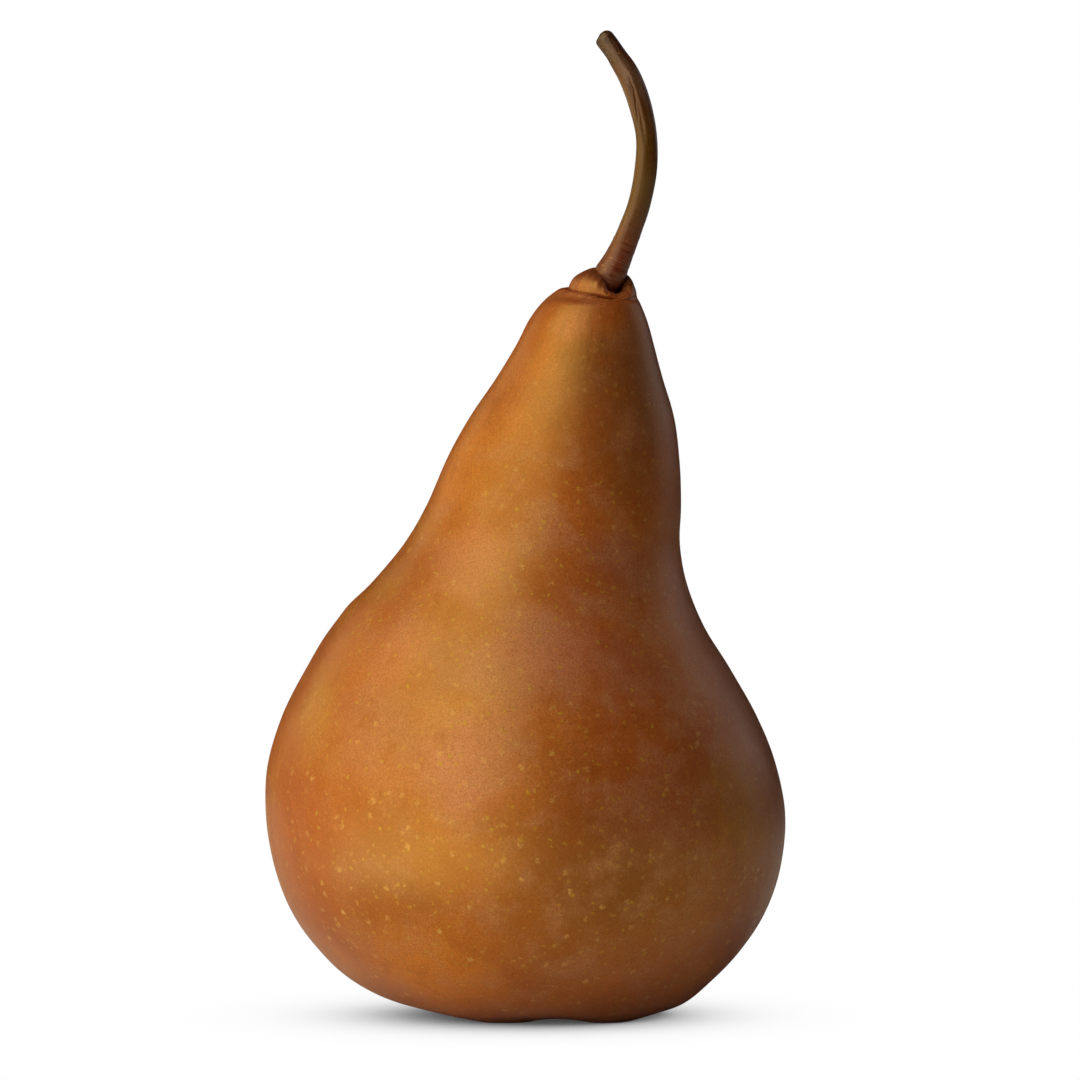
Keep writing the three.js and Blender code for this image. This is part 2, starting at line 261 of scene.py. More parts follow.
class PearBodySettings(bpy.types.PropertyGroup):
    """Relief and colours of the fruit's skin."""

    swell_height: length("Swell height", "Height of the broad unevenness of the flesh", 0.3)
    swell_spacing: length("Swell spacing", "Distance between broad swellings", 21.0)
    ripple_height: length("Ripple height", "Height of the small dimples", 0.05)
    ripple_spacing: length("Ripple spacing", "Distance between small dimples", 5.5)
    strand_height: length("Strand height", "Height of the fibres round the stem", 0.10)
    lenticel_spacing: length("Lenticel spacing", "Spacing of the large breathing pores", 2.2)
    lenticel_size: length("Lenticel size", "Distance across a large breathing pore", 0.95)
    russet: colour("Russet", "Ground colour of the skin", "a3511f")
    amber: colour("Amber", "Lighter, more orange skin", "af5b1e")
    gold: colour("Gold", "Yellow patches where the russet is thin", "b17322")
    haze: colour("Haze", "Pale pinkish clouds", "ac6840")
    thin: colour("Thin", "Redder skin between the clouds", "984208")
    # Painted shade: the olive patches darken the right and front right of the neck, the side away from the
    # lights.
    olive: colour("Olive", "Darker olive brown skin, away from the sun", "7d461b")
    # Partly the skin's own darker red brown and partly painted shade.
    brown: colour("Brown", "Darker red brown skin", "864019")
    # Painted highlight: the pale pinkish sheen of the lights, patched onto the front left of the belly and
    # the neck.
    pinkish_sheen: colour("Pinkish sheen", "Pale pinkish patches", "bb6e48")
    # Partly the skin's own orange and partly painted light: its patches sit on the left, which the lights
    # fall on, and on the lower edge, which the floor lights from below.
    sun: colour("Sun", "Bright orange skin that was in the sun", "c26a10")
    rust: colour("Rust", "Redder, deeper patches", "a14a0c")
    dull: colour("Dull", "Greyer patches where the cork is thick", "a05a3a")
    pore: colour("Pore", "Large corky lenticels", "cc9448")
    dot: colour("Dot", "Small golden pores", "b07a20")
    speck: colour("Speck", "Dark red specks between the lenticels", "842c04")
    # Partly the skin's own dark red brown against the stem and partly painted shade on the rim and down in
    # the socket round the stem's foot.
    stain_and_shade: colour("Stain and shade", "Dark red brown skin against the stem", "5e2c12")
    # Painted shade: dark colour laid along the crease under the lump beside the stem.
    crease_shade: colour("Crease", "Skin in the folds round the stem", "4a2412")


class PearStemSettings(bpy.types.PropertyGroup):
    """Relief and colours of the woody stem."""

    sides: bpy.props.IntProperty(name="Sides", description="Faces round the stem", default=144)
    oval_depth: length("Oval depth", "How far its section is from round", 0.17)
    groove_depth: length("Groove depth", "Depth of the soft groove below the tip", 0.12)
    slit_depth: length("Slit depth", "Depth of the slit in the groove", 0.07)
    wrinkle_depth: length("Wrinkle depth", "Depth of the wrinkles at the foot", 0.07)
    fibre_depth: length("Fibre depth", "Depth of the fine fibres", 0.012)
    fray_depth: length("Fray depth", "Depth of the gaps in the torn tip", 0.12)
    wood: colour("Wood", "Olive brown middle of the stem", "5a3706")
    heart: colour("Red wood", "Red brown upper part and foot", "5a290e")
    base: colour("Base", "Dark red brown where it leaves the fruit", "68280f")
    # Partly a real pale dry film and partly painted highlight: it is lightened to stand for the pale sheen
    # on the upper stem.
    wax_and_sheen: colour("Wax and sheen", "Pale dry film", "94795a")
    fray: colour("Fray", "Torn dry fibres at the tip", "4c2f1f")
    pore: colour("Pore", "Corky lenticels on the stem", "a8642c")
    crack: colour("Crack", "Slit in the bark and gaps in the tip", "2c170d")


class PearCalyxSettings(bpy.types.PropertyGroup):
    """Sizes and colours of the dried flower beneath the fruit."""

    sepals: bpy.props.IntProperty(name="Sepals", description="Number of sepals", default=5)
    sepal_reach: length("Sepal reach", "From the cup's wall to a sepal's tip", 4.2)
    sepal_width: length("Sepal width", "Greatest width of a sepal", 2.6)
    stamens: bpy.props.IntProperty(name="Stamens", description="Stamen stubs", default=14)
    stamen_length: length("Stamen length", "Length of a stamen stub", 2.4)
    stamen_width: length("Stamen width", "Thickness of a stamen stub", 0.34)
    seed: bpy.props.IntProperty(name="Seed", description="Changes how they curl", default=4)
    dried: colour("Dried", "Dead sepals", "3a2c20")
    felt: colour("Felt", "Pale felt of fine hairs", "7a6650")


class PearStudioSettings(bpy.types.PropertyGroup):
    """Camera and light."""

    camera_distance: length("Camera distance", "Along the ground to the fruit", 1200.0)
    camera_height: length("Camera height", "Above the floor", 116.0)
    aim_height: length("Aim height", "Height that the camera looks at", 66.0)
    lens: bpy.props.FloatProperty(
        name="Lens", description="Focal length for a 36 mm wide sensor", default=289.0,
        unit="CAMERA",
    )
    light_power: bpy.props.FloatProperty(
        name="Light", description="Power that each lamp gives a share of",
        default=5.7, subtype="POWER", unit="POWER",
    )
    fill: bpy.props.FloatProperty(
        name="Fill", description="Brightness of the white room all round", default=0.01,
    )
    floor: colour("Floor", "Matt white floor", "f4f4f4")


# ---- making meshes and node trees ----
def node(tree, kind, inputs=None, output=0, **settings):
    """Adds a node, sets or links its inputs, and returns one of its outputs."""
    made = tree.nodes.new(kind)
    for name, value in settings.items():
        setattr(made, name, value)
    for key, value in (inputs or {}).items():
        if isinstance(value, bpy.types.NodeSocket):
            tree.links.new(value, made.inputs[key])
        else:
            made.inputs[key].default_value = value
    return made.outputs[output] if made.outputs else made


def geometry_tree(name, sizes):
    """A geometry node tree with named inputs: its group, the geometry input and the sizes."""
    tree = bpy.data.node_groups.new(name, "GeometryNodeTree")
    tree.interface.new_socket("Geometry", in_out="INPUT", socket_type="NodeSocketGeometry")
    tree.interface.new_socket("Geometry", in_out="OUTPUT", socket_type="NodeSocketGeometry")
    for label, kind in sizes.items():
        tree.interface.new_socket(label, in_out="INPUT", socket_type=f"NodeSocket{kind}")
    entry = tree.nodes.new("NodeGroupInput")
    return tree, entry.outputs


def blank_material(name):
    """A material without nodes, and its node tree."""
    material = bpy.data.materials.new(name)
    material.use_nodes = True
    material.node_tree.nodes.clear()
    return material, material.node_tree


def close_tree(tree, geometry, material):
    """Ends a geometry node tree in real faces that carry the material."""
    real = node(tree, "GeometryNodeRealizeInstances", {0: geometry})
    smooth = node(tree, "GeometryNodeSetShadeSmooth", {"Geometry": real})
    painted = node(tree, "GeometryNodeSetMaterial", {"Geometry": smooth, "Material": material})
    node(tree, "NodeGroupOutput", {0: painted})


def grow(name, data, tree, settings, material):
    """Runs a geometry node tree on mesh data and returns the result as a plain mesh. Each of the
    tree's inputs takes the setting of its own name."""
    source = bpy.data.objects.new(name + "_source", data)
    bpy.context.scene.collection.objects.link(source)
    modifier = source.modifiers.new(tree.name, "NODES")
    modifier.node_group = tree
    for item in tree.interface.items_tree:
        if item.in_out == "OUTPUT" or item.socket_type == "NodeSocketGeometry":
            continue
        if item.socket_type == "NodeSocketMaterial":
            modifier[item.identifier] = material
        else:
            modifier[item.identifier] = getattr(settings, item.name.lower().replace(" ", "_"))
    depsgraph = bpy.context.evaluated_depsgraph_get()
    mesh = bpy.data.meshes.new_from_object(
        source.evaluated_get(depsgraph), preserve_all_data_layers=True, depsgraph=depsgraph
    )
    bpy.data.objects.remove(source)
    mesh.name = name
    piece = bpy.data.objects.new(name, mesh)
    bpy.context.scene.collection.objects.link(piece)
    return piece


def dress(piece, cad_node):
    """Puts a finished piece in place of its CAD node."""
    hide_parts(cad_node)
    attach(piece, "root")


def smoothstep(value, low, high):
    """0 below low, 1 above high, and a smooth rise between them."""
    share = np.clip((value - low) / (high - low), 0.0, 1.0)
    return share * share * (3.0 - 2.0 * share)


def along(values, t):
    """A smooth curve through evenly spaced values, read at t counted in values."""
    values = np.asarray(values, float)
    t = np.asarray(t, float)
    last = len(values) - 1
    i = np.clip(np.floor(t).astype(int), 0, last - 1)
    w = (t - i).reshape([-1] + [1] * (values.ndim - 1))
    before, here = values[np.maximum(i - 1, 0)], values[i]
    ahead, after = values[i + 1], values[np.minimum(i + 2, last)]
    leave = (ahead - before) / 2
    arrive = (after - here) / 2
    cubic = 2 * here - 2 * ahead + leave + arrive
    square = 3 * ahead - 3 * here - 2 * leave - arrive
    return ((cubic * w + square) * w + leave) * w + here


def closed_loft(name, points):
    """A closed mesh over rows of points (rows, sides, 3), whose first and last row are poles."""
    rows, sides = points.shape[:2]
    inner = points[1:-1].reshape(-1, 3)
    vertices = np.vstack([points[0, :1], inner, points[-1, :1]])
    side = np.arange(sides)
    ahead = (side + 1) % sides
    faces = [(0, 1 + b, 1 + a) for a, b in zip(side, ahead)]
    for row in range(rows - 3):
        low, high = 1 + row * sides, 1 + (row + 1) * sides
        faces += [(low + a, low + b, high + b, high + a) for a, b in zip(side, ahead)]
    top, last = len(vertices) - 1, 1 + (rows - 3) * sides
    faces += [(top, last + a, last + b) for a, b in zip(side, ahead)]
    mesh = bpy.data.meshes.new(name)
    mesh.from_pydata(vertices * MM, [], [tuple(int(i) for i in face) for face in faces])
    return mesh


def spread(rows):
    """Values given for each row and side, in the order of closed_loft's vertices."""
    return np.concatenate([rows[0, :1], rows[1:-1].reshape(-1, *rows.shape[2:]), rows[-1, :1]])


# ---- body ----
def crown_rings(azimuth):
    """Half width and height of every crown ring (rings, sides, 2), blended round the stem."""
    marks = sorted(CROWN_SIDES)
    turn = np.degrees(azimuth) % 360
    rings = np.zeros((len(CROWN_CENTRES), len(azimuth), 2))
    for mark, following in zip(marks, marks[1:] + [marks[0] + 360]):
        inside = (turn >= mark) & (turn <= following)
        share = smoothstep(turn[inside], mark, following)[None, :, None]
        here = np.array(CROWN_SIDES[mark])[:, None]
        ahead = np.array(CROWN_SIDES[following % 360])[:, None]
        rings[:, inside] = here + (ahead - here) * share
    return rings


def body_mesh():
    """The fruit with its crater, crown and basin, and attributes that tell the skin where it is."""
    azimuth = np.linspace(0, 2 * math.pi, BODY_SIDES, endpoint=False)
    sections = [np.repeat(np.array(RINGS)[:, None, :2], BODY_SIDES, axis=1)]
    sections.append(crown_rings(azimuth))
    sections.append(np.repeat(np.array([FOOT])[:, None, :2], BODY_SIDES, axis=1))
    rings = np.concatenate(sections)
    centres = [ring[2] for ring in RINGS] + list(CROWN_CENTRES) + [FOOT[2]]
    t = [span + row / count for span, count in enumerate(ROWS_IN_SPANS) for row in range(count)]
    t = np.array(t + [len(ROWS_IN_SPANS)], float)
    placed = along(rings, t)
    width, height = np.maximum(placed[..., 0], 0), placed[..., 1]
    back = BASE_BACK * (1 - smoothstep(height, 0, BASE_BACK_TOP))
    near = np.exp(-(((width - LOBE_RADIUS) / LOBE_SPREAD) ** 2))
    low = 1 - smoothstep(height, 0, LOBE_TOP)
    furrow = 1 - np.cos(LOBES * (azimuth - math.radians(LOBE_AZIMUTH)))[None]
    lift = LOBE_HALF_DEPTH * near * low * furrow * smoothstep(width, BASIN_FLOOR, LOBE_RADIUS)
    height = np.maximum(height + lift, 0)
    for degrees, level, out, across, fade in BUMPS:
        turn = (azimuth - math.radians(degrees) + math.pi) % (2 * math.pi) - math.pi
        turn = (turn / math.radians(across))[None]
        width = width + out * np.exp(-(turn**2) - ((height - level) / fade) ** 2)
    x = along(centres, t)[:, None] + width * np.cos(azimuth)
    y = back + DEPTH_RATIO * width * np.sin(azimuth)
    mesh = closed_loft("pear_body", np.stack([x, y, height], axis=-1))

    rows = np.repeat(t[:, None], BODY_SIDES, axis=1)
    turn = np.degrees(azimuth)[None]
    front = smoothstep(turn, 232, 252) * (1 - smoothstep(turn, 283, 291))
    left = smoothstep(turn, 160, 185) * (1 - smoothstep(turn, 190, 232))
    along_lump = smoothstep(turn, 165, 200) * (1 - smoothstep(turn, 230, 260))
    facing = np.maximum(front, 0.6 * left) + 0.25 * along_lump
    # The fold mask lays painted shade along the crease under the lump; the collar mask lays the dark red
    # brown and painted shade of the rim and socket round the stem.
    masks = {
        "crown": smoothstep(rows, 24.0, 27.0),
        "fold": np.exp(-(((rows - 28.0) / 0.3) ** 2)) * facing,
        "socket": smoothstep(rows, 31.2, 33.0),
        "collar": smoothstep(rows, 28.8, 32.0),
    }
    for name, values in masks.items():
        mesh.attributes.new(name, "FLOAT", "POINT").data.foreach_set("value", spread(values))
    # Fibres run from the shoulder to the stem: their pattern changes round the stem and hardly
    # along them.
    ring = np.broadcast_to(azimuth, rows.shape)
    strands = np.stack([9 * np.cos(ring), 9 * np.sin(ring), 0.6 * rows], axis=-1)
    layer = mesh.attributes.new("strands", "FLOAT_VECTOR", "POINT")
    layer.data.foreach_set("vector", spread(strands).ravel())
    return mesh


def relief_tree():
    """Uneven flesh: broad swellings, small dimples, and fibres that gather at the stem."""
    sizes = ("Swell height", "Swell spacing", "Ripple height", "Ripple spacing", "Strand height")
    tree, entry = geometry_tree("pear relief", {s: "Float" for s in sizes} | {"Skin": "Material"})
    place = node(tree, "GeometryNodeInputPosition")
    offsets = []
    for label, detail in (("Swell", 1.0), ("Ripple", 2.0)):
        scale = node(tree, "ShaderNodeMath", {0: 1.0, 1: entry[f"{label} spacing"]}, operation="DIVIDE")
        noise = node(tree, "ShaderNodeTexNoise", {"Vector": place, "Scale": scale, "Detail": detail})
        centred = node(tree, "ShaderNodeMath", {0: noise, 1: 0.5}, operation="SUBTRACT")
        twice = node(tree, "ShaderNodeMath", {0: entry[f"{label} height"], 1: 2.0}, operation="MULTIPLY")
        offsets.append(node(tree, "ShaderNodeMath", {0: centred, 1: twice}, operation="MULTIPLY"))
    strands = node(tree, "GeometryNodeInputNamedAttribute", {"Name": "strands"}, data_type="FLOAT_VECTOR")
    fibres = node(tree, "ShaderNodeTexNoise", {"Vector": strands, "Scale": 1.1, "Detail": 3.0})
    fibres = node(tree, "ShaderNodeMath", {0: fibres, 1: 0.5}, operation="SUBTRACT")
    fibres = node(tree, "ShaderNodeMath", {0: fibres, 1: entry["Strand height"]}, operation="MULTIPLY")
    crown = node(tree, "GeometryNodeInputNamedAttribute", {"Name": "crown"}, data_type="FLOAT")
    offsets.append(node(tree, "ShaderNodeMath", {0: fibres, 1: crown}, operation="MULTIPLY"))
    total = offsets[0]
    for offset in offsets[1:]:
        total = node(tree, "ShaderNodeMath", {0: total, 1: offset}, operation="ADD")
    # The flat spots that the fruit stands on, and the socket, stay as they are.
    level = node(tree, "ShaderNodeSeparateXYZ", {0: place}, output=2)
    lifted = node(tree, "ShaderNodeMapRange", {"Value": level, "From Min": 0.0002, "From Max": 0.006})
    socket = node(tree, "GeometryNodeInputNamedAttribute", {"Name": "socket"}, data_type="FLOAT")
    free = node(tree, "ShaderNodeMath", {0: 1.0, 1: socket}, operation="SUBTRACT")
    total = node(tree, "ShaderNodeMath", {0: total, 1: lifted}, operation="MULTIPLY")
    total = node(tree, "ShaderNodeMath", {0: total, 1: free}, operation="MULTIPLY")
    normal = node(tree, "GeometryNodeInputNormal")
    offset = node(tree, "ShaderNodeVectorMath", {0: normal, "Scale": total}, operation="SCALE")
    moved = node(tree, "GeometryNodeSetPosition", {"Geometry": entry[0], "Offset": offset})
    close_tree(tree, moved, entry["Skin"])
    return tree


def russet_skin(settings):
    """Pear skin covered by a thin layer of cork: satin, mottled, with corky breathing pores."""
    material, tree = blank_material("russet pear skin")
    coordinates = node(tree, "ShaderNodeTexCoord", output=3)
    mm = node(tree, "ShaderNodeVectorMath", {0: coordinates, "Scale": 1 / MM}, operation="SCALE")

    # Ground: broad drifts of colour about 25 mm wide.
    drift = node(tree, "ShaderNodeTexNoise", {"Vector": mm, "Scale": 1 / 25, "Detail": 2.0})
    drift = node(tree, "ShaderNodeMapRange", {0: drift, 1: 0.38, 2: 0.62})
    ground = node(
        tree, "ShaderNodeMix", {0: drift, 6: settings.russet, 7: settings.amber}, 2,
        data_type="RGBA",
    )
    # Golden patches about 11 mm wide, partly thin russet and partly painted light: they grow stronger
    # towards the left, the side the lights fall on.
    x = node(tree, "ShaderNodeSeparateXYZ", {0: mm})
    lit_side = node(tree, "ShaderNodeMapRange", {0: x, 1: 6.0, 2: -26.0})
    patch = node(tree, "ShaderNodeTexNoise", {"Vector": mm, "Scale": 1 / 11, "Detail": 3.0})
    patch = node(tree, "ShaderNodeMapRange", {0: patch, 1: 0.5, 2: 0.68})
    patch = node(tree, "ShaderNodeMath", {0: patch, 1: lit_side}, operation="MULTIPLY")
    patch = node(tree, "ShaderNodeMath", {0: patch, 1: 0.55}, operation="MULTIPLY")
    ground = node(tree, "ShaderNodeMix", {0: patch, 6: ground, 7: settings.gold}, 2, data_type="RGBA")

    # The patches, with uneven edges. The pinkish sheen ones paint highlights, the olive ones paint shade,
    # the brown and stain ones are partly painted shade, and the sun ones are partly painted light.
    wander = node(tree, "ShaderNodeTexNoise", {"Vector": mm, "Scale": 1 / 8, "Detail": 3.0}, 1)
    wander = node(
        tree, "ShaderNodeVectorMath", {0: wander, 1: (9.0, 9.0, 9.0), 2: (-4.5, -4.5, -4.5)},
        operation="MULTIPLY_ADD",
    )
    wander = node(tree, "ShaderNodeVectorMath", {0: mm, 1: wander}, operation="ADD")
    for kind, middle, reach, strength in PATCHES:
        away = node(tree, "ShaderNodeVectorMath", {0: wander, 1: middle}, 1, operation="DISTANCE")
        share = node(
            tree, "ShaderNodeMapRange", {0: away, 1: reach, 2: 0.2 * reach, 4: strength},
            interpolation_type="SMOOTHSTEP",
        )
        ground = node(
            tree, "ShaderNodeMix", {0: share, 6: ground, 7: getattr(settings, kind)}, 2,
            data_type="RGBA",
        )

    # Clouds of cork a few mm wide: pale and pinkish where it is thick, redder where it is thin.
    # The neck has less of it.
    height = node(tree, "ShaderNodeSeparateXYZ", {0: mm}, 2)
    below = node(tree, "ShaderNodeMapRange", {0: height, 1: 90.0, 2: 66.0, 3: 0.35, 4: 1.0})
    cloud = node(
        tree, "ShaderNodeTexNoise",
        {"Vector": mm, "Scale": 1 / 5.0, "Detail": 5.0, "Roughness": 0.6},
    )
    thick = node(tree, "ShaderNodeMapRange", {0: cloud, 1: 0.48, 2: 0.66})
    shaded = node(tree, "ShaderNodeMath", {0: lit_side, 1: -0.45, 2: 0.65}, operation="MULTIPLY_ADD")
    thick = node(tree, "ShaderNodeMath", {0: thick, 1: shaded}, operation="MULTIPLY")
    thick = node(tree, "ShaderNodeMath", {0: thick, 1: below}, operation="MULTIPLY")
    thin = node(tree, "ShaderNodeMapRange", {0: cloud, 1: 0.46, 2: 0.32, 4: 0.5})
    for share, paint in ((thick, settings.haze), (thin, settings.thin)):
        ground = node(tree, "ShaderNodeMix", {0: share, 6: ground, 7: paint}, 2, data_type="RGBA")
    # Here and there the cork has fine pale cracks, and fewer on the neck.
    crack = node(tree, "ShaderNodeTexNoise", {"Vector": mm, "Scale": 1 / 1.6, "Detail": 3.0})
    crack = node(tree, "ShaderNodeMath", {0: crack, 1: 0.5}, operation="SUBTRACT")
    crack = node(tree, "ShaderNodeMath", {0: crack}, operation="ABSOLUTE")
    crack = node(tree, "ShaderNodeMapRange", {0: crack, 1: 0.02, 2: 0.0, 4: 0.3})
    dry = node(tree, "ShaderNodeMapRange", {0: cloud, 1: 0.5, 2: 0.65})
    dry = node(tree, "ShaderNodeMath", {0: dry, 1: below}, operation="MULTIPLY")
    crack = node(tree, "ShaderNodeMath", {0: crack, 1: dry}, operation="MULTIPLY")
    ground = node(tree, "ShaderNodeMix", {0: crack, 6: ground, 7: settings.pore}, 2, data_type="RGBA")
    # Fine grain, from 0.25 mm down, darker and redder in the pits.
    grain = node(
        tree, "ShaderNodeTexNoise",
        {"Vector": mm, "Scale": 1 / 0.24, "Detail": 2.0, "Roughness": 0.7},
    )
    tone = node(
        tree, "ShaderNodeMix", {0: grain, 6: (0.3, 0.1, 0.0, 1.0), 7: (1.64, 1.82, 1.94, 1.0)}, 2,
        data_type="RGBA",
    )
    ground = node(
        tree, "ShaderNodeMix", {0: 1.0, 6: ground, 7: tone}, 2, data_type="RGBA",
        blend_type="MULTIPLY",
    )

    # Pores sit at random depths, so their cut through the skin varies from a dot to a blotch. The
    # large ones are corky and crowd together low down.
    ragged = node(tree, "ShaderNodeTexNoise", {"Vector": mm, "Scale": 1 / 0.6, "Detail": 3.0}, 1)
    ragged = node(
        tree, "ShaderNodeVectorMath", {0: ragged, 1: (1.1, 1.1, 1.1), 2: mm},
        operation="MULTIPLY_ADD",
    )
    low = node(
        tree, "ShaderNodeMapRange", {0: height, 1: 34.0, 2: 12.0, 3: 0.6, 4: 1.0},
        interpolation_type="SMOOTHSTEP",
    )
    spacing = settings.lenticel_spacing / MM
    lenticels = node(tree, "ShaderNodeTexVoronoi", {"Vector": ragged, "Scale": 1 / spacing})
    some = node(tree, "ShaderNodeSeparateColor", {0: lenticels.node.outputs["Color"]})
    some = node(tree, "ShaderNodeMapRange", {0: some, 1: 0.15, 2: 0.9, 3: 0.15, 4: 1.0})
    some = node(tree, "ShaderNodeMath", {0: some, 1: low}, operation="MULTIPLY")
    edge = settings.lenticel_size / settings.lenticel_spacing / 2
    lenticels = node(tree, "ShaderNodeMapRange", {0: lenticels, 1: edge * 1.1, 2: edge * 0.5})
    lenticels = node(tree, "ShaderNodeMath", {0: lenticels, 1: some}, operation="MULTIPLY")
    broken = node(tree, "ShaderNodeMapRange", {0: grain, 1: 0.36, 2: 0.54, 3: 0.15, 4: 1.0})
    lenticels = node(tree, "ShaderNodeMath", {0: lenticels, 1: broken}, operation="MULTIPLY")
    dots = node(tree, "ShaderNodeTexVoronoi", {"Vector": ragged, "Scale": 1 / 1.3})
    few = node(tree, "ShaderNodeSeparateColor", {0: dots.node.outputs["Color"]}, 1)
    few = node(tree, "ShaderNodeMapRange", {0: few, 1: 0.1, 2: 0.8, 3: 0.2, 4: 0.95})
    dots = node(tree, "ShaderNodeMapRange", {0: dots, 1: 0.25, 2: 0.13})
    dots = node(tree, "ShaderNodeMath", {0: dots, 1: few}, operation="MULTIPLY")
    specks = node(tree, "ShaderNodeTexVoronoi", {"Vector": mm, "Scale": 1 / 0.6})
    specks = node(tree, "ShaderNodeMapRange", {0: specks, 1: 0.26, 2: 0.1, 4: 0.5})
    for marks, thinned, paint in (
        (specks, 1.0, settings.speck),
        (dots, below, settings.dot),
        (lenticels, below, settings.pore),
    ):
        marks = node(tree, "ShaderNodeMath", {0: marks, 1: thinned}, operation="MULTIPLY")
        ground = node(tree, "ShaderNodeMix", {0: marks, 6: ground, 7: paint}, 2, data_type="RGBA")
    pores = node(tree, "ShaderNodeMath", {0: dots, 1: lenticels}, operation="MAXIMUM")

    # Fibres show as fine streaks on the shoulder and crown. Round the stem the skin is dark red brown,
    # partly its own colour and partly painted shade on the rim and in the socket; the crease under the lump
    # gets painted shade.
    strands = node(tree, "ShaderNodeAttribute", output=1, attribute_name="strands")
    crown = node(tree, "ShaderNodeAttribute", output=2, attribute_name="crown")
    strands = node(tree, "ShaderNodeVectorMath", {0: strands, 1: (1.0, 1.0, 0.35)}, operation="MULTIPLY")
    streaks = node(tree, "ShaderNodeTexNoise", {"Vector": strands, "Scale": 3.5, "Detail": 3.0})
    streaks = node(tree, "ShaderNodeMapRange", {0: streaks, 1: 0.3, 2: 0.7, 3: 0.8, 4: 1.2})
    neck = node(tree, "ShaderNodeMapRange", {0: height, 1: 76.0, 2: 96.0, 4: 0.6})
    striped = node(tree, "ShaderNodeMath", {0: crown, 1: neck}, operation="MAXIMUM")
    ground = node(
        tree, "ShaderNodeMix", {0: striped, 6: ground, 7: streaks}, 2, data_type="RGBA",
        blend_type="MULTIPLY",
    )
    for name, most, paint in (("collar", 0.75, settings.stain_and_shade), ("fold", 0.35, settings.crease_shade)):
        share = node(tree, "ShaderNodeAttribute", output=2, attribute_name=name)
        share = node(tree, "ShaderNodeMath", {0: share, 1: most}, operation="MULTIPLY")
        ground = node(tree, "ShaderNodeMix", {0: share, 6: ground, 7: paint}, 2, data_type="RGBA")

    # Relief of grain and pores, and cork that is duller than the skin between.
    raised = node(tree, "ShaderNodeMath", {0: grain, 1: pores}, operation="ADD")
    normal = node(tree, "ShaderNodeBump", {"Height": raised, "Distance": 0.035 * MM, "Strength": 0.6})
    gloss = node(tree, "ShaderNodeMapRange", {0: grain, 1: 0.3, 2: 0.7, 3: 0.34, 4: 0.42})
    surface = node(
        tree,
        "ShaderNodeBsdfPrincipled",
        {
            "Base Color": ground,
            "Roughness": gloss,
            "Normal": normal,
            "IOR": 1.6,
            "Specular IOR Level": 1.0,
            "Specular Tint": linear("ffcf5c"),
        },
    )
    node(tree, "ShaderNodeOutputMaterial", {"Surface": surface})
    return material


class PEAR_OT_body(bpy.types.Operator):
    """Make the fruit: flesh and skin with the crater, the lump beside the stem and the basin."""

    bl_idname = "pear.body"
    bl_label = "Fruit"

    def execute(self, context):
        settings = context.scene.pear_body
        skin = russet_skin(settings)
        dress(grow("pear_body", body_mesh(), relief_tree(), settings, skin), "body")
        return {"FINISHED"}


# ---- stem ----
def stem_path():
    """Middle line of the stem as a chain of points that hold what changes along the stem."""
    count = (len(STEM_POINTS) - 1) * STEPS_PER_POINT + 1
    x, y, z, radius = along(STEM_POINTS, np.linspace(0, len(STEM_POINTS) - 1, count)).T
    points = np.stack([x, y, z], axis=-1)
    steps = np.linalg.norm(np.diff(points, axis=0), axis=1)
    path = bpy.data.meshes.new("pear_stem_path")
    path.from_pydata(points * MM, [(i, i + 1) for i in range(count - 1)], [])
    marks = {
        "thickness": radius - 0.04 * smoothstep(z, 104.0, 108.5),
        "run": np.append(0.0, np.cumsum(steps)),
        "oval": smoothstep(z, 104.0, 108.5) * (1 - smoothstep(z, 131.0, 134.0)),
        "grooved": smoothstep(z, 119.0, 124.0) * (1 - smoothstep(z, 129.5, 133.0)),
        "slit": smoothstep(z, 120.5, 122.0) * (1 - smoothstep(z, 128.8, 130.5)),
        "slit turn": 1.66 + 0.8 * (1 - smoothstep(z, 120.0, 130.5)),
        "wrinkled": smoothstep(z, 99.5, 104.5) * (1 - smoothstep(z, 107.0, 113.0)),
        "frayed": smoothstep(z, 130.8, 133.5),
    }
    for name in STEM_MARKS:
        path.attributes.new(name, "FLOAT", "POINT").data.foreach_set("value", marks[name])
    return path


